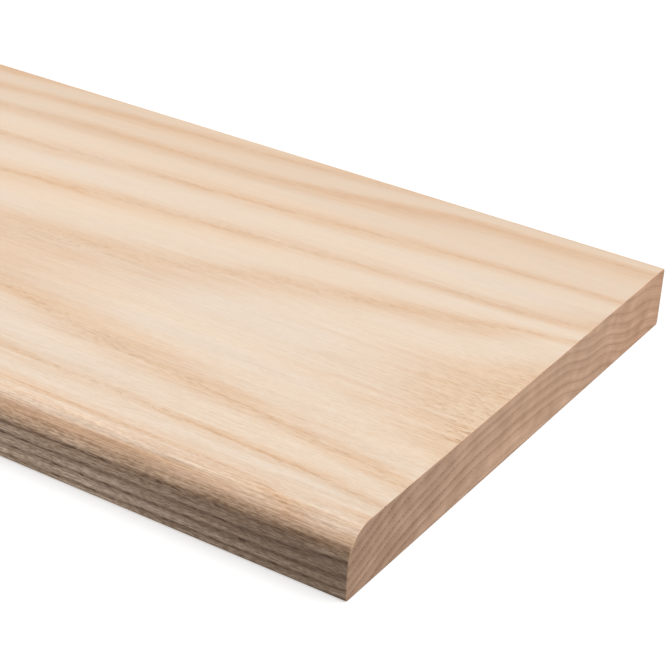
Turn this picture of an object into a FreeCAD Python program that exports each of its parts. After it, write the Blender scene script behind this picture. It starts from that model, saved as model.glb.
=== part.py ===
"""Solid ash window sill board, one planed plank with a rounded front nose.

The board lies flat on its underside. +X runs along the grain, +Y points to the
back edge that meets the window frame, +Z is up. The origin is the middle of the
underside. All sizes are in millimetres.
"""

import FreeCAD, Part
import math
import os

# Driving dimensions
LENGTH = 1000.0        # a stock length, cross-cut square at both ends
WIDTH = 195.0          # front of the nose to the back edge
THICKNESS = 21.0       # planed thickness
NOSE_RADIUS = 10.0     # quarter round moulded along the top of the front edge
ARRIS_RADIUS = 1.0     # sanding on the other three long edges
END_BREAK = 0.3        # light sanding round the outline of each sawn end

OUTPUT_FOLDER = "parts"


def section_point(y, z):
    """A point of the board's section, on the plane of its left end."""
    return FreeCAD.Vector(-LENGTH / 2, y, z)


def corner_arc(y, z, radius, start_degrees):
    """A quarter circle about (y, z), turning anticlockwise as seen from the +X end."""
    angles = [math.radians(start_degrees + turn) for turn in (0.0, 45.0, 90.0)]
    points = [section_point(y + radius * math.cos(a), z + radius * math.sin(a)) for a in angles]
    return Part.Arc(*points)


def board_section():
    """The moulded section: flat faces joined by the nose and three eased long edges."""
    front = -WIDTH / 2
    back = WIDTH / 2
    corners = [
        corner_arc(back - ARRIS_RADIUS, ARRIS_RADIUS, ARRIS_RADIUS, 270.0),
        corner_arc(back - ARRIS_RADIUS, THICKNESS - ARRIS_RADIUS, ARRIS_RADIUS, 0.0),
        corner_arc(front + NOSE_RADIUS, THICKNESS - NOSE_RADIUS, NOSE_RADIUS, 90.0),
        corner_arc(front + ARRIS_RADIUS, ARRIS_RADIUS, ARRIS_RADIUS, 180.0),
    ]
    edges = []
    for corner, following in zip(corners, corners[1:] + corners[:1]):
        edges.append(corner.toShape())
        edges.append(Part.LineSegment(corner.EndPoint, following.StartPoint).toShape())
    return Part.Face(Part.Wire(edges))


def end_outline_edges(board):
    """The edges that run round the two sawn ends."""
    ends = [face for face in board.Faces if abs(face.CenterOfMass.x) > LENGTH / 2 - END_BREAK]
    return [edge for face in ends for edge in face.Edges]


def sill_board():
    """The plank, run through the moulder and then cross-cut to length."""
    moulded = board_section().extrude(FreeCAD.Vector(LENGTH, 0.0, 0.0))
    return moulded.makeFillet(END_BREAK, end_outline_edges(moulded))


os.makedirs(OUTPUT_FOLDER, exist_ok=True)
board = sill_board()
board.exportStep(os.path.join(OUTPUT_FOLDER, "sill_board.step"))
print("sill_board valid:", board.isValid(), "solids:", len(board.Solids), "volume mm3:", round(board.Volume))
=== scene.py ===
"""A solid ash window sill board in a plain studio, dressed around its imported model."""

import math

import bmesh
import bpy
from mathutils import Matrix, Vector


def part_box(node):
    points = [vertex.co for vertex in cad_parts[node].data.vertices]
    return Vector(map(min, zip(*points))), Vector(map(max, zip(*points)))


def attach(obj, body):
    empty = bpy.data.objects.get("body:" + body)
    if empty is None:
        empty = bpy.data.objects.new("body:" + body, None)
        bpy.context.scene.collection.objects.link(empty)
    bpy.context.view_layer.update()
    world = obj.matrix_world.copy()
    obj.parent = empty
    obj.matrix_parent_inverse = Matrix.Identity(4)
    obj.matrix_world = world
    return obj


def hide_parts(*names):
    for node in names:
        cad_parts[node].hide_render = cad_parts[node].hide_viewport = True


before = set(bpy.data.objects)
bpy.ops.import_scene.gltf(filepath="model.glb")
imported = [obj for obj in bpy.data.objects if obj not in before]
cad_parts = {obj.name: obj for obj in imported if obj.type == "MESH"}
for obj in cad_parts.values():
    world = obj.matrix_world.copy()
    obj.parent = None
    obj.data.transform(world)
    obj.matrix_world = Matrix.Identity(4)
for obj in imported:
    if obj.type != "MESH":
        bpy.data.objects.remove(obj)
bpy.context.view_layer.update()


# The plank's own sizes, as the moulder and the saw left them.
# It is one length of ash, planed on both faces, with a quarter round run along the top
# of its front edge. The other long edges are only sanded, and the ends are saw cuts.

low, high = (Vector(corner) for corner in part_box("sill_board"))
LENGTH, WIDTH, THICKNESS = high - low
NOSE_RADIUS = 0.010
ARRIS_RADIUS = 0.001
END_BREAK = 0.0003
MM = 0.001


# The growth rings of the ash, in mm from the low front corner of the sawn end.
# The plank was sawn flat from the side of a log, bark side up, so each year's ring lies in it
# as a low arch, highest near the middle of the width and sinking towards both long edges.

RING_WIDTHS = (
    3.6, 3.7, 3.6, 2.1, 4.9, 3.5, 4.1, 2.8, 3.5, 3.7,
    3.6, 4.5, 4.8, 3.6, 3.7, 3.5, 3.8, 3.6, 3.9, 3.7,
)
OLDEST_RING = -10.0                        # where the first of these rings starts, under the arch
CREST_FRONT, CREST_BACK = 75.0, 92.0       # the arch is level between these, from the front
FRONT_DROP, FRONT_POWER = 13.2, 2.3
BACK_DROP, BACK_POWER = 19.0, 1.3
TAPER = 0.019                              # the rings sink this much for each mm away from the sawn end
FLARE, FLARE_REACH = 0.7, 14.0             # and this much more over the first stretch
# distance from the sawn end and from the front, reach along and across, and how far the rings sink
SWELLS = (
    (65.0, 184.0, 30.0, 14.0, -0.9),
    (0.0, 178.0, 14.0, 26.0, 0.9),
    (130.0, 96.0, 60.0, 16.0, 1.0),
    (0.0, 117.0, 20.0, 14.0, -1.3),
    (135.0, 20.0, 40.0, 14.0, -0.7),
    (150.0, 172.0, 50.0, 12.0, 0.5),
    (0.0, 8.0, 55.0, 12.0, 1.4),
    (0.0, 82.0, 22.0, 24.0, 0.62),
    (57.0, 0.0, 80.0, 7.0, 0.25),
)
# the rings ripple across the back of the sawn end
RIPPLE, RIPPLE_PITCH, RIPPLE_CREST, RIPPLE_REACH = 0.8, 30.0, 154.0, 60.0
RIPPLE_FROM, RIPPLE_FULL = 105.0, 135.0
# one year grew thick towards the front, and the rings under it dip by this much
DIP, DIP_MIDDLE, DIP_REACH = 1.2, 42.0, 20.0
DIP_FROM, DIP_FULL = 21.5, 19.5
# the rings stray little by the sawn end and more far from it
CALM, CALM_TO, WILD, WILD_FROM = 0.12, 130.0, 0.9, 420.0
WANDER_LENGTH, WANDER_WIDTH = 160.0, 34.0
FRAY_LENGTH, FRAY_WIDTH = 20.0, 1.2        # the ragged edge of each ring
LAYERS_A_YEAR, LAYER_LENGTH = 5.0, 60.0    # the fine lines within a ring, and how far each can be followed
LINE_LEAD = 0.03                           # the share of a ring that the next one's line takes up
PORE_LEAD = 0.5                            # and its first wood, as a part of what lies after the start
# round the crest at the sawn end, where the pores lie open
POROUS_MIDDLE, POROUS_ALONG, POROUS_ACROSS = 82.0, 26.0, 28.0
# how far the painted shade reaches from the low front corner, darkening the edge and the end there
CORNER_SHADE_MIDDLE, CORNER_SHADE_ALONG, CORNER_SHADE_ACROSS = 5.0, 75.0, 50.0
BORE_CORE = 0.5                            # the share of a pore's bore that is fully dark
CRISP_AT, CRISP_TO = 0.45, 0.6             # streaks past this level are cut off at that one


def wire(tree, socket, value):
    """Joins an output to a socket, or sets the socket to a plain value."""
    if isinstance(value, bpy.types.NodeSocket):
        tree.links.new(value, socket)
    else:
        socket.default_value = value


def reckon(tree, operation, *terms):
    """One step of arithmetic on values that change over the surface."""
    node = tree.nodes.new("ShaderNodeMath")
    node.operation = operation
    for socket, term in zip(node.inputs, terms):
        wire(tree, socket, term)
    return node.outputs[0]


def chained(tree, operation, terms):
    """One operation carried through several values."""
    running = terms[0]
    for term in terms[1:]:
        running = reckon(tree, operation, running, term)
    return running


def total(tree, *terms):
    """The sum of several values."""
    return chained(tree, "ADD", terms)


def times(tree, *terms):
    """The product of several values."""
    return chained(tree, "MULTIPLY", terms)


def greatest(tree, *terms):
    """The largest of several values."""
    return chained(tree, "MAXIMUM", terms)


def sloped(tree, value, slope, base):
    """The base, and the slope more for each step of the value."""
    return reckon(tree, "MULTIPLY_ADD", value, slope, base)


def mixed(tree, share, first, second):
    """A value that goes from first to second as the share goes from 0 to 1."""
    return sloped(tree, share, reckon(tree, "SUBTRACT", second, first), first)


def eased(tree, value, start, stop, first=0.0, last=1.0):
    """A smooth change from first to last as the value goes from start to stop."""
    node = tree.nodes.new("ShaderNodeMapRange")
    node.interpolation_type = "SMOOTHSTEP"
    names = ("Value", "From Min", "From Max", "To Min", "To Max")
    for name, term in zip(names, (value, start, stop, first, last)):
        wire(tree, node.inputs[name], term)
    return node.outputs["Result"]


def split(tree, vector):
    """The three parts of a vector."""
    node = tree.nodes.new("ShaderNodeSeparateXYZ")
    wire(tree, node.inputs[0], vector)
    return node.outputs


def joined(tree, *parts):
    """A vector made of its parts."""
    node = tree.nodes.new("ShaderNodeCombineXYZ")
    for socket, part in zip(node.inputs, parts):
        wire(tree, socket, part)
    return node.outputs[0]


def stretched(tree, place, along, across):
    """Places counted in steps, long ones along the grain and short ones across it."""
    ratio = tree.nodes.new("ShaderNodeVectorMath")
    ratio.operation = "DIVIDE"
    wire(tree, ratio.inputs[0], place)
    wire(tree, ratio.inputs[1], joined(tree, along, across, across))
    return ratio.outputs["Vector"]


def clouds(tree, place, detail=2.0, roughness=0.5):
    """Smooth noise about zero, mostly between -1 and 1."""
    node = tree.nodes.new("ShaderNodeTexNoise")
    wire(tree, node.inputs["Vector"], place)
    node.inputs["Scale"].default_value = 1.0
    node.inputs["Detail"].default_value = detail
    node.inputs["Roughness"].default_value = roughness
    return sloped(tree, node.outputs[0], 4.0, -2.0)


def bell(tree, *spreads):
    """A smooth hump: 1 at the middle of every spread, falling off over its reach."""
    powers = []
    for value, middle, reach in spreads:
        offset = reckon(tree, "DIVIDE", reckon(tree, "SUBTRACT", value, middle), reach)
        powers.append(times(tree, offset, offset, -1.0))
    return reckon(tree, "EXPONENT", total(tree, *powers))


NUMBER, VECTOR = "NodeSocketFloat", "NodeSocketVector"


def shared_effect(name, inputs, outputs):
    """A new shader node group with the named sockets, and its two end nodes."""
    group = bpy.data.node_groups.new(name, "ShaderNodeTree")
    for title, kind, value in inputs:
        socket = group.interface.new_socket(title, in_out="INPUT", socket_type=kind)
        if value is not None:
            socket.default_value = value
    for title in outputs:
        group.interface.new_socket(title, in_out="OUTPUT", socket_type=NUMBER)
    return group, group.nodes.new("NodeGroupInput").outputs, group.nodes.new("NodeGroupOutput").inputs


def growth_rings():
    """How far each point lies through its year's ring, as the shades that show there."""
    group, given, out = shared_effect(
        "ash growth rings",
        [("Place", VECTOR, None), ("Shift", NUMBER, 0.0), ("Fray", NUMBER, 0.2), ("Line Share", NUMBER, 0.1),
         ("Pore Share", NUMBER, 0.3), ("Lead Share", NUMBER, 0.38), ("Wash Share", NUMBER, 0.52)],
        ["Line", "First Wood", "Wash", "Year Tone", "Corner Shade", "Porous", "Layers"],
    )
    axes = split(group, given["Place"])
    away = times(group, axes["X"], -1.0)
    across = axes["Y"]

    def fallen(distance, span, drop, power):
        share = reckon(group, "DIVIDE", reckon(group, "MAXIMUM", distance, 0.0), span)
        return times(group, reckon(group, "POWER", share, power), drop)

    front = fallen(reckon(group, "SUBTRACT", CREST_FRONT, across), CREST_FRONT, FRONT_DROP, FRONT_POWER)
    back_span = WIDTH / MM - CREST_BACK
    back = fallen(reckon(group, "SUBTRACT", across, CREST_BACK), back_span, BACK_DROP, BACK_POWER)
    taper = times(group, away, TAPER)
    fading = reckon(group, "EXPONENT", reckon(group, "DIVIDE", away, -FLARE_REACH))
    flare = sloped(group, fading, -FLARE, FLARE)
    swells = []
    for along, aside, reach_along, reach_aside, sink in SWELLS:
        hump = bell(group, (away, along, reach_along), (across, aside, reach_aside))
        swells.append(times(group, hump, sink))

    wave = 2 * math.pi / RIPPLE_PITCH
    turn = sloped(group, across, wave, -wave * RIPPLE_CREST)
    near_end = bell(group, (away, 0.0, RIPPLE_REACH))
    behind = eased(group, across, RIPPLE_FROM, RIPPLE_FULL)
    ripple = times(group, reckon(group, "COSINE", turn), near_end, behind)

    wander = clouds(group, stretched(group, given["Place"], WANDER_LENGTH, WANDER_WIDTH))
    straying = eased(group, away, CALM_TO, WILD_FROM, CALM, WILD)
    ragged = stretched(group, given["Place"], FRAY_LENGTH, FRAY_WIDTH)
    fray = clouds(group, ragged, detail=4.0, roughness=0.7)
    depth = total(
        group, axes["Z"], given["Shift"], front, back, taper, flare, *swells,
        times(group, ripple, -RIPPLE), times(group, wander, straying), times(group, fray, given["Fray"]),
    )
    sunk = eased(group, depth, DIP_FULL, DIP_FROM, DIP, 0.0)
    depth = total(group, depth, times(group, bell(group, (across, DIP_MIDDLE, DIP_REACH)), sunk))

    years = group.nodes.new("ShaderNodeFloatCurve")
    span = sum(RING_WIDTHS)
    points = years.mapping.curves[0].points
    points[0].location = (0.0, 0.0)
    points[1].location = (1.0, 1.0)
    for count in range(1, len(RING_WIDTHS)):
        points.new(sum(RING_WIDTHS[:count]) / span, count / len(RING_WIDTHS))
    for point in points:
        point.handle_type = "VECTOR"
    years.mapping.update()
    reached = reckon(group, "DIVIDE", reckon(group, "SUBTRACT", depth, OLDEST_RING), span)
    wire(group, years.inputs["Value"], reached)
    ring = times(group, years.outputs["Value"], float(len(RING_WIDTHS)))
    through = reckon(group, "FRACT", ring)

    def about_start(before, after):
        rising = eased(group, through, reckon(group, "SUBTRACT", 1.0, before), 1.0)
        falling = eased(group, through, 0.0, after, 1.0, 0.0)
        return greatest(group, rising, falling)

    chance = group.nodes.new("ShaderNodeTexWhiteNoise")
    chance.noise_dimensions = "1D"
    wire(group, chance.inputs["W"], reckon(group, "FLOOR", reckon(group, "ADD", ring, 0.5)))
    spot = joined(group, times(group, ring, LAYERS_A_YEAR), across, away)
    layers = clouds(group, stretched(group, spot, 1.0, LAYER_LENGTH), roughness=0.7)
    pore_lead = times(group, given["Pore Share"], PORE_LEAD)
    porous = bell(group, (away, 0.0, POROUS_ALONG), (across, POROUS_MIDDLE, POROUS_ACROSS))
    # painted shade: a bell round the low front corner by the sawn end
    corner_shade = bell(group, (away, 0.0, CORNER_SHADE_ALONG), (across, CORNER_SHADE_MIDDLE, CORNER_SHADE_ACROSS))
    wire(group, out["Layers"], layers)
    wire(group, out["Line"], about_start(LINE_LEAD, given["Line Share"]))
    wire(group, out["First Wood"], about_start(pore_lead, given["Pore Share"]))
    wire(group, out["Wash"], about_start(given["Lead Share"], given["Wash Share"]))
    wire(group, out["Year Tone"], chance.outputs["Value"])
    wire(group, out["Porous"], porous)
    wire(group, out["Corner Shade"], corner_shade)
    return group


def vessels():
    """The open pores of ash: fine tubes along the grain, crowded where a ring starts."""
    group, given, out = shared_effect(
        "ash vessels",
        [("Place", VECTOR, None), ("Crowding", NUMBER, 1.0), ("Pitch", NUMBER, 0.75),
         ("Bore", NUMBER, 0.36)],
        ["Vessels"],
    )
    axes = split(group, given["Place"])
    across, up = (reckon(group, "DIVIDE", axes[name], given["Pitch"]) for name in ("Y", "Z"))
    cells = group.nodes.new("ShaderNodeTexVoronoi")
    cells.voronoi_dimensions = "2D"
    cells.inputs["Scale"].default_value = 1.0
    wire(group, cells.inputs["Vector"], joined(group, across, up))
    bore = times(group, given["Bore"], reckon(group, "SQRT", given["Crowding"]))
    core = times(group, bore, BORE_CORE)
    wire(group, out["Vessels"], eased(group, cells.outputs["Distance"], core, bore, 1.0, 0.0))
    return group


def fibres():
    """Streaks along the grain, from broad bands down to single fibres."""
    group, given, out = shared_effect(
        "ash fibres",
        [("Place", VECTOR, None), ("Length", NUMBER, 28.0), ("Width", NUMBER, 2.2)],
        ["Streaks", "Crisp"],
    )
    place = stretched(group, given["Place"], given["Length"], given["Width"])
    streaks = clouds(group, place, detail=1.0, roughness=0.6)
    wire(group, out["Streaks"], streaks)
    wire(group, out["Crisp"], eased(group, streaks, -CRISP_AT, CRISP_AT, -CRISP_TO, CRISP_TO))
    return group


RINGS, VESSELS, FIBRES = growth_rings(), vessels(), fibres()


def effect(tree, group, **values):
    """Places a shared effect in a material with its own values."""
    node = tree.nodes.new("ShaderNodeGroup")
    node.node_tree = group
    for name, value in values.items():
        wire(tree, node.inputs[name.replace("_", " ")], value)
    return node.outputs


def blended(tree, share, first, second, mode="MIX"):
    """Two colours mixed by a share."""
    node = tree.nodes.new("ShaderNodeMix")
    node.data_type = "RGBA"
    node.blend_type = mode
    wire(tree, node.inputs[0], share)
    for socket, colour in ((node.inputs[6], first), (node.inputs[7], second)):
        wire(tree, socket, colour if isinstance(colour, bpy.types.NodeSocket) else (*colour, 1.0))
    return node.outputs[2]


def shaded(tree, colour, *levels):
    """A colour made lighter or darker, evenly or by a level for red, green and blue."""
    shade = tree.nodes.new("ShaderNodeCombineColor")
    for socket, level in zip(shade.inputs, levels * 3 if len(levels) == 1 else levels):
        wire(tree, socket, level)
    return blended(tree, 1.0, colour, shade.outputs[0], "MULTIPLY")


def tinted(tree, share, colour, tint):
    """A colour moved by a tint, as far as the share says."""
    return blended(tree, share, colour, shaded(tree, colour, *tint))


def facing(tree):
    """Which way the surface faces, in three parts."""
    return split(tree, tree.nodes.new("ShaderNodeNewGeometry").outputs["Normal"])


def wood(name):
    """A new material with its shader, and places in mm from the low front corner of the sawn end."""
    material = bpy.data.materials.new(name)
    material.use_nodes = True
    tree = material.node_tree
    shader = tree.nodes["Principled BSDF"]
    coordinates = tree.nodes.new("ShaderNodeTexCoord")
    mapping = tree.nodes.new("ShaderNodeMapping")
    mapping.inputs["Scale"].default_value = (1 / MM, 1 / MM, 1 / MM)
    mapping.inputs["Location"].default_value = (-high.x / MM, -low.y / MM, -low.z / MM)
    wire(tree, mapping.inputs["Vector"], coordinates.outputs["Object"])
    return material, tree, shader, mapping.outputs["Vector"]


def hollowed(tree, shader, hollows, depth):
    """Fine hollows in the surface, in metres deep."""
    bump = tree.nodes.new("ShaderNodeBump")
    bump.inputs["Strength"].default_value = 1.0
    bump.inputs["Distance"].default_value = depth
    wire(tree, bump.inputs["Height"], times(tree, hollows, -1.0))
    wire(tree, shader.inputs["Normal"], bump.outputs["Normal"])


# The planed faces and the moulded edge.
# Bare ash, sanded matt: pale late wood, a tan wash where each ring starts, and short dark pores.
# On the nose and the edges the rings are cut square across, and there their lines and pores are painted
# darker, as painted shade held in the open pores.

# tilt is how far the surface is turned: 0 lying flat, 1 standing upright
NOSE_FROM, NOSE_FULL = 0.05, 0.60
EDGE_FROM, EDGE_FULL = 0.70, 0.99
UPRIGHT_FROM, UPRIGHT_FULL = 0.97, 0.99

# the nose cuts the rings aslant, so its lines lie deeper among them, in mm
LEAN = 5.5                                 # for each step of tilt
END_LEAN, END_LEAN_LEVEL = -3.5, -3.0      # by the sawn end, for each step of tilt and on the level
END_LEAN_MIDDLE, END_LEAN_REACH = 5.0, 36.0
LUMP, LUMP_MIDDLE, LUMP_REACH = 2.0, -38.0, 16.0               # a swelling a little way along
LUMP_FROM, LUMP_FULL = 0.45, 0.75
LEAN_FROM, LEAN_FULL = 13.0, 9.5           # from the front
LEAN_UNTIL, LEAN_GONE = 0.76, 0.93
CORNER, CORNER_REACH = -1.4, 18.0          # high on the edge, by the sawn end
CORNER_FROM, CORNER_FULL = 0.75, 0.92
CORNER_FOOT, CORNER_TOP = 6.0, 10.5
EDGE_SHIFT = 0.3

# shares of a ring on the flat, and what the nose or the edge adds
LEAD, LEAD_ON_EDGE = 0.40, 0.20            # darkening towards the next ring's start
WASH, WASH_ON_EDGE = 0.40, -0.04           # fading after it
FIRST_WOOD, FIRST_WOOD_ON_EDGE = 0.20, 0.08
LINE_SHARE = 0.07
FRAY, FRAY_ON_NOSE = 0.30, -0.27           # how ragged its edges are, in mm

# the flat faces
PALE = (0.854, 0.717, 0.582)
TAN = (0.797, 0.585, 0.410)
TONE, TONE_BY_YEAR = 0.62, 0.30            # how far the wash goes to tan
GRAIN_IN_TONE, HAIR_IN_TONE, LAYERS_IN_TONE = -0.20, -0.25, -0.35
BACK_TONE, BACK_TONE_FROM, BACK_TONE_FULL = 1.06, 95.0, 135.0
FACE_LINE = (0.690, 0.440, 0.262)
LINE, LINE_BY_PLAIN = 0.08, 0.06
BROAD_IN_LINE, DASH_IN_LINE = 0.30, -0.50
BACK_TAN = (0.950, 0.900, 0.850)
BACK_FROM, BACK_FULL = 140.0, 185.0
CREST_TAN = (1.012, 0.978, 0.928)
# the grain is plainest by the low front corner
PLAIN_ALONG, PLAIN_ACROSS, PLAIN_LEAST = 200.0, 110.0, 0.2

# the nose, by tilt: the middle of each part, its reach and its tint; partly the warm aslant grain, partly
# painted light and shade, paler high on the nose and darker as it turns down to the front
NOSE_TINTS_AND_SHADE = (
    (0.10, 0.12, (0.980, 0.910, 0.850)),
    (0.41, 0.17, (1.076, 0.945, 0.837)),
    (0.65, 0.09, (1.012, 0.938, 0.882)),
    (0.80, 0.20, (0.860, 0.682, 0.560)),
    (0.92, 0.05, (0.870, 0.840, 0.800)),
)
NOSE_START = (1.000, 0.955, 0.915)
START_MIDDLE, START_REACH = 10.5, 2.5      # from the front, where the nose leaves the flat top
# one dark line runs aslant down the nose, with paler wood on both sides of it
SLANT_PALE = (1.045, 1.095, 1.150)
SLANT_DARK = (0.840, 0.740, 0.630)
# the line's tilt at the sawn end, how much that grows for each mm from it, and the line's reach
SLANT_FOOT, SLANT_FALL, SLANT_REACH = 0.43, 0.0033, 0.11
SLANT_TILT, SLANT_SPREAD = 0.65, 0.25
SLANT_MIDDLE, SLANT_ALONG = -65.0, 75.0
EVEN, EVEN_TILT, EVEN_REACH, EVEN_WASH = 0.9, 0.84, 0.06, 0.15     # low on the nose no ring stands out

# the upright edges
EDGE_PALE = (0.960, 0.772, 0.598)
EDGE_LINE = (0.310, 0.190, 0.118)
EDGE_DARK, EDGE_WASH, EDGE_FIRST_WOOD = 0.06, 0.53, 0.16
# painted shade on the upright edge, growing from low down up to the nose
UNDER_NOSE_SHADE = (0.780, 0.745, 0.730)
UNDER_SHADE_FROM, UNDER_SHADE_FULL = 2.0, 10.5         # up the edge, where the painted shade starts and where it is full

# how deep each kind of streak is on the flat, and what the nose and the edge add
GRAIN_DEPTHS = (0.06, 0.05, 0.03)
HAIR_DEPTHS = (0.05, 0.15, 0.10)
FUZZ_DEPTHS = (0.07, 0.08, 0.28)
# for red, green and blue: streaks on the flat, what the nose adds, the broad bands, the edge's painted
# corner shade
CHANNELS = (
    (0.6, 0.25, 0.02, -0.50),
    (1.0, 0.00, -0.01, -0.52),
    (1.4, -0.25, -0.05, -0.54),
)
DARKEST_STREAK = 0.3
FACE_CORNER_SHADE = -0.02

# the pores
PORE = (0.600, 0.360, 0.175)
TORN_PORE = (0.340, 0.180, 0.080)
SHADED_EDGE_PORE = (0.100, 0.057, 0.034)
PORE_CORE, PORE_RIM = -0.55, -0.27         # the levels of the streaks that open as pores
EDGE_CROWDING = 0.3
OPEN_ALONG, OPEN_ACROSS, OPEN_MIDDLE = 4.5, 14.0, 60.0         # where the saw left the pores torn open
PORE_SHADE, SHADE_BY_PLAIN, SHADE_AT_CREST, SHADE_WHERE_TORN, SHADE_ON_EDGE = 0.08, 0.15, 0.20, 0.50, 0.75
SHADE_FROM, SHADE_FULL = 0.88, 0.99
PORE_DEPTH = 0.05 * MM
FACE_ROUGH, PORE_ROUGHER, FACE_SHINE = 0.6, 0.2, 0.3


def line_shift(tree, axes, tilt, edge):
    """How much deeper among the rings the lines on the nose and the edge lie."""
    by_end = times(tree, bell(tree, (axes["X"], END_LEAN_MIDDLE, END_LEAN_REACH)),
                   sloped(tree, tilt, END_LEAN, END_LEAN_LEVEL))
    lump = times(tree, bell(tree, (axes["X"], LUMP_MIDDLE, LUMP_REACH)),
                 eased(tree, tilt, LUMP_FROM, LUMP_FULL, 0.0, LUMP))
    aslant = total(tree, by_end, lump, times(tree, tilt, LEAN))
    on_nose = times(tree, eased(tree, axes["Y"], LEAN_FROM, LEAN_FULL),
                    eased(tree, tilt, LEAN_UNTIL, LEAN_GONE, 1.0, 0.0))
    corner = times(tree, bell(tree, (axes["X"], 0.0, CORNER_REACH)),
                   eased(tree, tilt, CORNER_FROM, CORNER_FULL),
                   eased(tree, axes["Z"], CORNER_FOOT, CORNER_TOP, 0.0, CORNER))
    return total(tree, times(tree, aslant, on_nose), times(tree, edge, EDGE_SHIFT), corner)


def nose_colour(tree, axes, tilt, colour):
    """The nose's tints, from where it leaves the top down to its foot: partly its warm aslant grain, partly
    painted light and shade that darkens as it turns down.
    """
    colour = tinted(tree, bell(tree, (axes["Y"], START_MIDDLE, START_REACH)), colour, NOSE_START)
    for middle, reach, tint in NOSE_TINTS_AND_SHADE:
        colour = tinted(tree, bell(tree, (tilt, middle, reach)), colour, tint)
    apart = reckon(tree, "SUBTRACT", tilt, sloped(tree, axes["X"], -SLANT_FALL, SLANT_FOOT))
    about = bell(tree, (tilt, SLANT_TILT, SLANT_SPREAD), (axes["X"], SLANT_MIDDLE, SLANT_ALONG))
    colour = tinted(tree, about, colour, SLANT_PALE)
    slant = times(tree, bell(tree, (apart, 0.0, SLANT_REACH)), about)
    return tinted(tree, slant, colour, SLANT_DARK)


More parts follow.
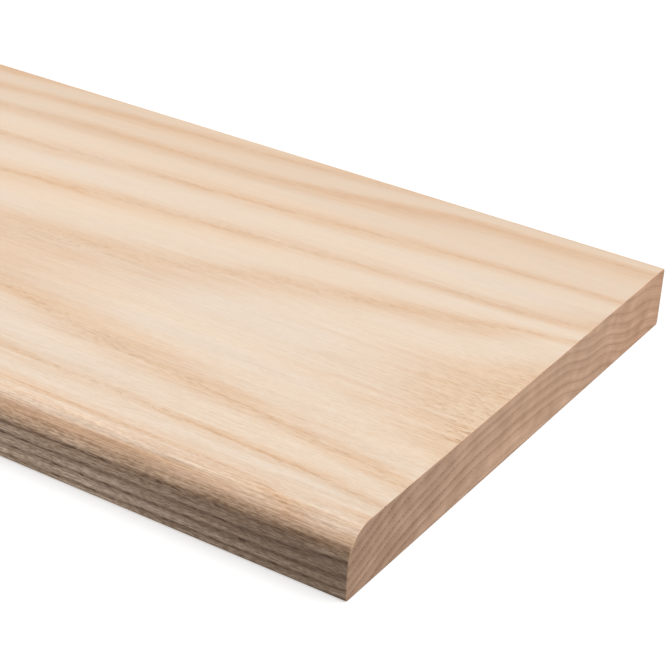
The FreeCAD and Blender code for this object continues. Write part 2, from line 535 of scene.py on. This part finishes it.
def planed_ash():
    """Ash cut along its grain."""
    material, tree, shader, place = wood("planed ash")
    axes = split(tree, place)
    tilt = reckon(tree, "ABSOLUTE", facing(tree)["Y"])
    nose = eased(tree, tilt, NOSE_FROM, NOSE_FULL)
    edge = eased(tree, tilt, EDGE_FROM, EDGE_FULL)
    rings = effect(
        tree, RINGS, Place=place, Shift=line_shift(tree, axes, tilt, edge), Line_Share=LINE_SHARE,
        Lead_Share=sloped(tree, edge, LEAD_ON_EDGE, LEAD),
        Wash_Share=sloped(tree, edge, WASH_ON_EDGE, WASH),
        Pore_Share=sloped(tree, edge, FIRST_WOOD_ON_EDGE, FIRST_WOOD),
        Fray=sloped(tree, nose, FRAY_ON_NOSE, FRAY),
    )
    broad = effect(tree, FIBRES, Place=place, Length=150.0, Width=14.0)["Streaks"]
    grain = effect(tree, FIBRES, Place=place, Length=45.0, Width=2.2)["Streaks"]
    hair = effect(tree, FIBRES, Place=place, Length=24.0, Width=0.5)["Crisp"]
    dash = effect(tree, FIBRES, Place=place, Length=5.0, Width=0.52)["Streaks"]
    fuzz = effect(tree, FIBRES, Place=place, Length=2.5, Width=0.4)

    opened = bell(tree, (axes["X"], 0.0, OPEN_ALONG), (axes["Y"], OPEN_MIDDLE, OPEN_ACROSS))
    even = times(tree, bell(tree, (tilt, EVEN_TILT, EVEN_REACH)), EVEN)
    crowding = greatest(tree, rings["First Wood"], rings["Porous"], opened, times(tree, edge, EDGE_CROWDING))
    crowding = times(tree, crowding, reckon(tree, "SUBTRACT", 1.0, even))
    speck = mixed(tree, greatest(tree, edge, opened), fuzz["Streaks"], dash)
    pores = times(tree, crowding, eased(tree, speck, PORE_CORE, PORE_RIM, 1.0, 0.0))

    plain = bell(tree, (axes["X"], 0.0, PLAIN_ALONG), (axes["Y"], 0.0, PLAIN_ACROSS))
    plain = sloped(tree, plain, 1.0 - PLAIN_LEAST, PLAIN_LEAST)
    tone = total(
        tree, sloped(tree, rings["Year Tone"], TONE_BY_YEAR, TONE),
        times(tree, grain, plain, GRAIN_IN_TONE), times(tree, hair, plain, HAIR_IN_TONE),
        times(tree, rings["Layers"], LAYERS_IN_TONE),
    )
    tone = times(tree, tone, eased(tree, axes["Y"], BACK_TONE_FROM, BACK_TONE_FULL, 1.0, BACK_TONE))
    wash = mixed(tree, even, rings["Wash"], EVEN_WASH)
    face = blended(tree, times(tree, wash, tone), PALE, TAN)
    strength = total(
        tree, sloped(tree, plain, LINE_BY_PLAIN, LINE),
        times(tree, broad, BROAD_IN_LINE), times(tree, dash, plain, DASH_IN_LINE),
    )
    face = blended(tree, times(tree, rings["Line"], strength), face, FACE_LINE)
    face = tinted(tree, eased(tree, axes["Y"], BACK_FROM, BACK_FULL), face, BACK_TAN)
    face = tinted(tree, rings["Porous"], face, CREST_TAN)

    dark = total(
        tree, EDGE_DARK, times(tree, wash, EDGE_WASH), times(tree, rings["First Wood"], EDGE_FIRST_WOOD),
    )
    colour = blended(tree, edge, face, blended(tree, dark, EDGE_PALE, EDGE_LINE))
    upright = eased(tree, tilt, UPRIGHT_FROM, UPRIGHT_FULL)
    # painted shade: the upright edge darkens higher up, under the nose
    under = times(tree, eased(tree, axes["Z"], UNDER_SHADE_FROM, UNDER_SHADE_FULL), upright)
    colour = tinted(tree, under, colour, UNDER_NOSE_SHADE)
    colour = nose_colour(tree, axes, tilt, colour)

    streak = 0.0
    kinds = ((grain, GRAIN_DEPTHS), (hair, HAIR_DEPTHS), (fuzz["Crisp"], FUZZ_DEPTHS))
    for streaks, (on_face, on_nose, on_edge) in kinds:
        depth = total(
            tree, times(tree, plain, on_face), times(tree, nose, on_nose), times(tree, edge, on_edge),
        )
        streak = sloped(tree, streaks, depth, streak)
    levels = []
    for on_face, on_nose, warmth, corner_shading in CHANNELS:
        weight = sloped(tree, nose, on_nose, on_face)
        level = total(tree, 1.0, times(tree, streak, weight), times(tree, broad, warmth))
        # painted shade, darkening the upright edge towards the low front corner
        corner_shade = times(tree, rings["Corner Shade"], sloped(tree, edge, corner_shading, FACE_CORNER_SHADE))
        levels.append(times(tree, greatest(tree, level, DARKEST_STREAK), total(tree, corner_shade, 1.0)))
    colour = shaded(tree, colour, *levels)

    # on the upright edges the pores go near black: their own dark, with painted shade held in the open pores
    pore = blended(tree, edge, blended(tree, opened, PORE, TORN_PORE), SHADED_EDGE_PORE)
    share = total(
        tree, sloped(tree, plain, SHADE_BY_PLAIN, PORE_SHADE),
        times(tree, rings["Porous"], SHADE_AT_CREST), times(tree, opened, SHADE_WHERE_TORN),
        eased(tree, tilt, SHADE_FROM, SHADE_FULL, 0.0, SHADE_ON_EDGE),
    )
    colour = blended(tree, times(tree, pores, share), colour, pore)
    wire(tree, shader.inputs["Base Color"], colour)
    wire(tree, shader.inputs["Roughness"], sloped(tree, pores, PORE_ROUGHER, FACE_ROUGH))
    hollowed(tree, shader, pores, PORE_DEPTH)
    shader.inputs["Specular IOR Level"].default_value = FACE_SHINE
    return material


# The sawn ends.
# The saw cuts the ash straight across its grain, so each ring shows as a dotted line of open
# pores, and the cut fibres take in light and look darker and redder than the faces.

END_PALE = (0.660, 0.430, 0.296)
END_DARK = (0.487, 0.283, 0.177)
END_TONE, END_TONE_BY_YEAR = 0.22, 0.65    # how far the wash goes to dark
TONE_FRONT, TONE_BACK = 0.78, 0.60
TONE_FROM, TONE_TO = 100.0, 150.0
END_WASH_POWER = 0.6
END_BACK = (1.000, 0.945, 0.895)
# the rings sit a little deeper at the front and higher at the back than on the faces
END_SINK, SINK_UNTIL, SINK_GONE = 0.5, 50.0, 72.0
END_RISE, RISE_FROM, RISE_FULL = -0.7, 118.0, 140.0
FINE_DEPTH, BROAD_DEPTH, LAYER_DEPTH = 0.06, 0.15, 0.09
END_WEIGHTS = (0.85, 1.0, 1.15)            # of the streaks, in red, green and blue
END_PORE = (0.230, 0.130, 0.080)
END_LINE = 0.15
DOTS_FRONT, DOTS_BACK = 0.72, 0.26         # how dark the pores are
DOTS_FROM, DOTS_TO = 20.0, 120.0
RIM_HIGHLIGHT, RIM_FROM, RIM_FULL = 1.10, 0.98, 0.85               # where the broken rim is painted pale, a painted highlight where it catches the light
LOW_EDGE_SHADE, LOW_SHADE_RISE = 0.7, 0.7               # painted shade along the low edge, and how high it climbs
END_CORNER_SHADE = -0.25
END_PORE_DEPTH = 0.05 * MM
END_ROUGH, END_PORE_ROUGHER, END_SHINE = 0.75, 0.15, 0.2


def sawn_ash():
    """Ash cut across its grain."""
    material, tree, shader, place = wood("sawn ash")
    axes = split(tree, place)
    across = axes["Y"]
    shift = total(
        tree, eased(tree, across, SINK_UNTIL, SINK_GONE, END_SINK, 0.0),
        eased(tree, across, RISE_FROM, RISE_FULL, 0.0, END_RISE),
    )
    rings = effect(
        tree, RINGS, Place=place, Shift=shift, Fray=0.06, Line_Share=0.1, Lead_Share=0.6, Wash_Share=0.38,
        Pore_Share=0.22,
    )
    pores = effect(tree, VESSELS, Place=place, Crowding=rings["First Wood"], Pitch=0.75, Bore=0.4)["Vessels"]
    fine = effect(tree, FIBRES, Place=place, Length=9.0, Width=0.7)["Streaks"]
    broad = effect(tree, FIBRES, Place=place, Length=60.0, Width=8.0)["Streaks"]

    tone = sloped(tree, rings["Year Tone"], END_TONE_BY_YEAR, END_TONE)
    tone = times(tree, tone, eased(tree, across, TONE_FROM, TONE_TO, TONE_FRONT, TONE_BACK))
    wash = reckon(tree, "POWER", rings["Wash"], END_WASH_POWER)
    colour = blended(tree, times(tree, wash, tone), END_PALE, END_DARK)
    colour = tinted(tree, eased(tree, across, BACK_FROM, BACK_FULL), colour, END_BACK)
    streak = total(
        tree, times(tree, fine, FINE_DEPTH), times(tree, broad, BROAD_DEPTH),
        times(tree, rings["Layers"], LAYER_DEPTH),
    )
    colour = shaded(tree, colour, *(sloped(tree, streak, weight, 1.0) for weight in END_WEIGHTS))
    colour = blended(tree, times(tree, rings["Line"], END_LINE), colour, END_PORE)
    dots = times(tree, pores, eased(tree, across, DOTS_FROM, DOTS_TO, DOTS_FRONT, DOTS_BACK))
    colour = blended(tree, dots, colour, END_PORE)
    square = reckon(tree, "ABSOLUTE", facing(tree)["X"])
    # painted highlight along the broken rim of the end
    rim_highlight = eased(tree, square, RIM_FROM, RIM_FULL, 1.0, RIM_HIGHLIGHT)
    # painted shade along the low edge of the end, where it faces down
    painted_low_shade = eased(tree, axes["Z"], 0.0, LOW_SHADE_RISE, LOW_EDGE_SHADE, 1.0)
    # painted shade, darkening the end towards the low front corner
    corner_shade = sloped(tree, rings["Corner Shade"], END_CORNER_SHADE, 1.0)
    colour = shaded(tree, colour, times(tree, corner_shade, rim_highlight, painted_low_shade))
    wire(tree, shader.inputs["Base Color"], colour)
    wire(tree, shader.inputs["Roughness"], sloped(tree, pores, END_PORE_ROUGHER, END_ROUGH))
    hollowed(tree, shader, pores, END_PORE_DEPTH)
    shader.inputs["Specular IOR Level"].default_value = END_SHINE
    return material


# The board itself.
# The moulder pushes the plank past its cutters, so one section runs the whole length: the
# tree sweeps that section along the grain. The saw then leaves an end with a hair of a break.

CORNER_STEPS = 24
GIRTH_STEP = 0.0005
STATIONS = 21
BREAK_STEPS = 3
WELD = 1e-6                                # corners closer than this are one
# how far a face points along the grain
SAWN_FACING = 0.9                          # at least, when the tree marks the saw cuts
END_FACING = 0.5                           # at least, to go with an end once its rim is broken
SQUARE_FACING = 0.99                       # at least, to be shaded flat
LEVEL_FACING = 0.02                        # at most, to lie along the board
# distances round the section, from the middle of the back top arris
TOP_RUN = ARRIS_RADIUS * math.pi / 4 + WIDTH - ARRIS_RADIUS - NOSE_RADIUS
FRONT_RUN = TOP_RUN + NOSE_RADIUS * math.pi / 2 + THICKNESS - NOSE_RADIUS - ARRIS_RADIUS
SHOWN_RUN = FRONT_RUN + ARRIS_RADIUS * math.pi / 4
UNDER_RUN = FRONT_RUN + ARRIS_RADIUS * math.pi / 2 + WIDTH - 2 * ARRIS_RADIUS
WHOLE_RUN = UNDER_RUN + ARRIS_RADIUS * math.pi * 0.75 + THICKNESS - 2 * ARRIS_RADIUS
# where they lie on the flat picture, as shares of its side
MAP_EDGE = 0.004
MAP_GAP = 0.008
HIDDEN_SHARE = 0.25
END_GAP = 0.005                            # between the two ends, in metres of board
END_SCALE = (1 - 2 * MAP_EDGE) / (2 * WIDTH + END_GAP)
HIDDEN_FOOT = MAP_EDGE + THICKNESS * END_SCALE + MAP_GAP
HIDDEN_SCALE = HIDDEN_SHARE / (WHOLE_RUN - SHOWN_RUN)
SHOWN_FOOT = HIDDEN_FOOT + HIDDEN_SHARE + MAP_GAP
SHOWN_SCALE = (1 - MAP_EDGE - SHOWN_FOOT) / SHOWN_RUN


def moulded_plank(planed, sawn):
    """A node tree that sweeps the moulded section along the plank and closes its ends."""
    tree = bpy.data.node_groups.new("moulded plank", "GeometryNodeTree")
    for title in ("Length", "Width", "Thickness", "Nose Radius", "Arris Radius", "Girth Step"):
        tree.interface.new_socket(title, in_out="INPUT", socket_type=NUMBER)
    for title in ("Corner Steps", "Stations"):
        tree.interface.new_socket(title, in_out="INPUT", socket_type="NodeSocketInt")
    tree.interface.new_socket("Plank", in_out="OUTPUT", socket_type="NodeSocketGeometry")
    given = tree.nodes.new("NodeGroupInput").outputs

    def made(kind, settings=None, **values):
        node = tree.nodes.new(kind)
        for name, value in (settings or {}).items():
            setattr(node, name, value)
        for name, value in values.items():
            wire(tree, node.inputs[name.replace("_", " ")], value)
        return node.outputs[0]

    outline = made("GeometryNodeCurvePrimitiveQuadrilateral",
                   Width=given["Width"], Height=given["Thickness"])
    place = split(tree, made("GeometryNodeInputPosition"))
    at_front = reckon(tree, "GREATER_THAN", place["X"], 0.0)
    at_top = reckon(tree, "LESS_THAN", place["Y"], 0.0)
    extra = reckon(tree, "SUBTRACT", given["Nose Radius"], given["Arris Radius"])
    radius = sloped(tree, times(tree, at_front, at_top), extra, given["Arris Radius"])
    section = made("GeometryNodeFilletCurve", {"mode": "POLY"}, Curve=outline,
                   Count=given["Corner Steps"], Radius=radius)
    section = made("GeometryNodeResampleCurve", {"mode": "LENGTH"}, Curve=section,
                   Length=given["Girth Step"])

    middle = times(tree, given["Thickness"], 0.5)
    half = times(tree, given["Length"], 0.5)
    start = joined(tree, times(tree, half, -1.0), 0.0, middle)
    stop = joined(tree, half, 0.0, middle)
    path = made("GeometryNodeCurvePrimitiveLine", Start=start, End=stop)
    path = made("GeometryNodeResampleCurve", {"mode": "COUNT"}, Curve=path, Count=given["Stations"])
    swept = made("GeometryNodeCurveToMesh", Curve=path, Profile_Curve=section, Fill_Caps=True)

    along = reckon(tree, "ABSOLUTE", split(tree, made("GeometryNodeInputNormal"))["X"])
    sawn_face = reckon(tree, "GREATER_THAN", along, SAWN_FACING)
    plank = made("GeometryNodeRealizeInstances", Geometry=swept)
    plank = made("GeometryNodeSetMaterial", Geometry=plank, Material=planed)
    plank = made("GeometryNodeSetMaterial", Geometry=plank, Material=sawn, Selection=sawn_face)
    wire(tree, tree.nodes.new("NodeGroupOutput").inputs[0], plank)
    return tree


def swept_mesh(name, tree, values):
    """The tree's result as a plain mesh."""
    carrier = bpy.data.objects.new(name, bpy.data.meshes.new(name))
    bpy.context.scene.collection.objects.link(carrier)
    modifier = carrier.modifiers.new("moulding", "NODES")
    modifier.node_group = tree
    for socket in tree.interface.items_tree:
        if socket.in_out == "INPUT":
            modifier[socket.identifier] = values[socket.name]
    evaluated = carrier.evaluated_get(bpy.context.evaluated_depsgraph_get())
    mesh = bpy.data.meshes.new_from_object(evaluated)
    carrier.modifiers.clear()
    carrier.data = mesh
    return carrier


board = swept_mesh("ash_sill_board", moulded_plank(planed_ash(), sawn_ash()), {
    "Length": LENGTH, "Width": WIDTH, "Thickness": THICKNESS,
    "Nose Radius": NOSE_RADIUS, "Arris Radius": ARRIS_RADIUS, "Girth Step": GIRTH_STEP,
    "Corner Steps": CORNER_STEPS, "Stations": STATIONS,
})


def girth_at(y, z):
    """How far round the section a point lies: over the top, down the front and back underneath."""
    back, front = high.y - y, y - low.y
    top, under = high.z - z, z - low.z
    quarter = math.pi / 2
    if front < NOSE_RADIUS and top < NOSE_RADIUS:
        return TOP_RUN + NOSE_RADIUS * math.atan2(NOSE_RADIUS - front, NOSE_RADIUS - top)
    if top < ARRIS_RADIUS and back < ARRIS_RADIUS:
        return ARRIS_RADIUS * (quarter / 2 - math.atan2(ARRIS_RADIUS - back, ARRIS_RADIUS - top))
    if front < ARRIS_RADIUS and under < ARRIS_RADIUS:
        return FRONT_RUN + ARRIS_RADIUS * math.atan2(ARRIS_RADIUS - under, ARRIS_RADIUS - front)
    if back < ARRIS_RADIUS and under < ARRIS_RADIUS:
        return UNDER_RUN + ARRIS_RADIUS * math.atan2(ARRIS_RADIUS - back, ARRIS_RADIUS - under)
    nearest = min(back, front, top, under)
    if nearest == top:
        return ARRIS_RADIUS * quarter / 2 + back - ARRIS_RADIUS
    if nearest == front:
        return TOP_RUN + NOSE_RADIUS * quarter + top - NOSE_RADIUS
    if nearest == under:
        return FRONT_RUN + ARRIS_RADIUS * quarter + front - ARRIS_RADIUS
    return UNDER_RUN + ARRIS_RADIUS * quarter + under - ARRIS_RADIUS


def lay_out(work):
    """Lays the faces out flat: the show side widest, the hidden side and the ends below it."""
    flat = work.loops.layers.uv.new("OFBake")
    for face in work.faces:
        middle = face.calc_center_median()
        is_end = abs(face.normal.x) > END_FACING
        shown = 0.0 <= girth_at(middle.y, middle.z) < SHOWN_RUN
        for loop in face.loops:
            place = loop.vert.co
            if is_end:
                side = place.y - low.y
                if face.normal.x <= 0:
                    side += WIDTH + END_GAP
                u = MAP_EDGE + side * END_SCALE
                v = MAP_EDGE + (place.z - low.z) * END_SCALE
            else:
                u = MAP_EDGE + (place.x - low.x) / LENGTH * (1 - 2 * MAP_EDGE)
                run = girth_at(place.y, place.z)
                if shown:
                    v = SHOWN_FOOT + (SHOWN_RUN - run) * SHOWN_SCALE
                else:
                    if run < SHOWN_RUN / 2:
                        run += WHOLE_RUN
                    v = HIDDEN_FOOT + (WHOLE_RUN - run) * HIDDEN_SCALE
            loop[flat].uv = (u, v)


def finish_ends(mesh):
    """Breaks the end rims and sets how faces shade."""
    work = bmesh.new()
    work.from_mesh(mesh)
    bmesh.ops.remove_doubles(work, verts=work.verts, dist=WELD)
    rims = []
    for edge in work.edges:
        if sorted(face.material_index for face in edge.link_faces) == [0, 1]:
            rims.append(edge)
    bmesh.ops.bevel(work, geom=rims, offset=END_BREAK, offset_type="OFFSET", segments=BREAK_STEPS,
                    profile=0.5, affect="EDGES", material=0)
    for face in work.faces:
        face.material_index = int(abs(face.normal.x) > END_FACING)
        face.smooth = abs(face.normal.x) < SQUARE_FACING
    for edge in work.edges:
        level = [abs(face.normal.x) < LEVEL_FACING for face in edge.link_faces]
        edge.smooth = level[0] == level[1] and all(face.smooth for face in edge.link_faces)
    lay_out(work)
    work.to_mesh(mesh)
    work.free()


finish_ends(board.data)
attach(board, "root")
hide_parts("sill_board")


# The studio floor.
# A plain pale sheet that the board lies on. The camera sees it almost white, with the board's
# soft shadow, and it throws a little light back up at the edges.

FLOOR_SIZE = 6.0
FLOOR_GREY = 0.45
FLOOR_SEEN = 0.55
FLOOR_LIFT = 0.55


def seen_rays(tree):
    """1 where a ray shows the eye what is there, and 0 where it only carries light."""
    rays = tree.nodes.new("ShaderNodeLightPath").outputs
    return greatest(tree, rays["Is Camera Ray"], rays["Is Glossy Ray"], rays["Is Transmission Ray"])


def pale_floor():
    """A floor that is white to the eye and greyer to the light it throws back."""
    material = bpy.data.materials.new("pale floor")
    material.use_nodes = True
    tree = material.node_tree
    tree.nodes.remove(tree.nodes["Principled BSDF"])
    plain = tree.nodes.new("ShaderNodeBsdfDiffuse")
    plain.inputs["Color"].default_value = (FLOOR_GREY, FLOOR_GREY, FLOOR_GREY, 1.0)
    shown = tree.nodes.new("ShaderNodeBsdfDiffuse")
    shown.inputs["Color"].default_value = (FLOOR_SEEN, FLOOR_SEEN, FLOOR_SEEN, 1.0)
    glow = tree.nodes.new("ShaderNodeEmission")
    glow.inputs["Strength"].default_value = FLOOR_LIFT
    both = tree.nodes.new("ShaderNodeAddShader")
    wire(tree, both.inputs[0], shown.outputs[0])
    wire(tree, both.inputs[1], glow.outputs[0])
    choice = tree.nodes.new("ShaderNodeMixShader")
    wire(tree, choice.inputs[0], seen_rays(tree))
    wire(tree, choice.inputs[1], plain.outputs[0])
    wire(tree, choice.inputs[2], both.outputs[0])
    wire(tree, tree.nodes["Material Output"].inputs["Surface"], choice.outputs[0])
    return material


floor_mesh = bpy.data.meshes.new("floor")
reach = FLOOR_SIZE / 2
floor_corners = [(-reach, -reach, 0), (reach, -reach, 0), (reach, reach, 0), (-reach, reach, 0)]
floor_mesh.from_pydata(floor_corners, [], [(0, 1, 2, 3)])
floor_mesh.materials.append(pale_floor())
floor = bpy.data.objects.new("floor", floor_mesh)
bpy.context.scene.collection.objects.link(floor)


# The studio light.
# One broad soft lamp stands high beyond the sawn end, so the top is brightest, the end less
# bright and the front edge in shade. An even sky fills the rest.

LAMP_TOWARDS = Vector((0.50, 0.15, 0.85))
LAMP_SHARE = 0.52                          # of the light that falls on the top
LAMP_SPREAD = math.radians(40.0)
SKY_SHARE = 0.48

lamp = bpy.data.lights.new("soft lamp", "SUN")
lamp.energy = LAMP_SHARE * math.pi / LAMP_TOWARDS.normalized().z
lamp.angle = LAMP_SPREAD
lamp_object = bpy.data.objects.new("soft lamp", lamp)
lamp_object.rotation_euler = LAMP_TOWARDS.to_track_quat("Z", "Y").to_euler()
bpy.context.scene.collection.objects.link(lamp_object)

world = bpy.data.worlds.new("studio sky")
bpy.context.scene.world = world
world.use_nodes = True
sky = world.node_tree
backdrop = sky.nodes["Background"]
backdrop.inputs["Color"].default_value = (1.0, 1.0, 1.0, 1.0)
wire(sky, backdrop.inputs["Strength"], sloped(sky, seen_rays(sky), 1.0 - SKY_SHARE, SKY_SHARE))


# The camera.
# It looks down at the front corner of the sawn end, close enough that most of the board
# runs out of the picture on the left.

PICTURE = 665                              # pixels each way
FOCAL_PIXELS = 2037.7
SENSOR = 36.0
AZIMUTH, ELEVATION, ROLL = math.radians(30.98), math.radians(28.52), math.radians(3.40)
# the low front corner as the camera sees it: right, up and ahead
CORNER_SEEN = Vector((0.1639, -3.3753, 25.411)) * THICKNESS

camera = bpy.data.cameras.new("camera")
camera.sensor_width = SENSOR
camera.lens = FOCAL_PIXELS / PICTURE * SENSOR
turn = (Matrix.Rotation(AZIMUTH, 3, "Z") @ Matrix.Rotation(math.pi / 2 - ELEVATION, 3, "X")
        @ Matrix.Rotation(ROLL, 3, "Z"))
stand = Vector((high.x, low.y, low.z)) - turn @ Vector((CORNER_SEEN.x, CORNER_SEEN.y, -CORNER_SEEN.z))
camera_object = bpy.data.objects.new("camera", camera)
camera_object.matrix_world = Matrix.Translation(stand) @ turn.to_4x4()
bpy.context.scene.collection.objects.link(camera_object)
bpy.context.scene.camera = camera_object
bpy.context.scene.view_settings.view_transform = "Standard"
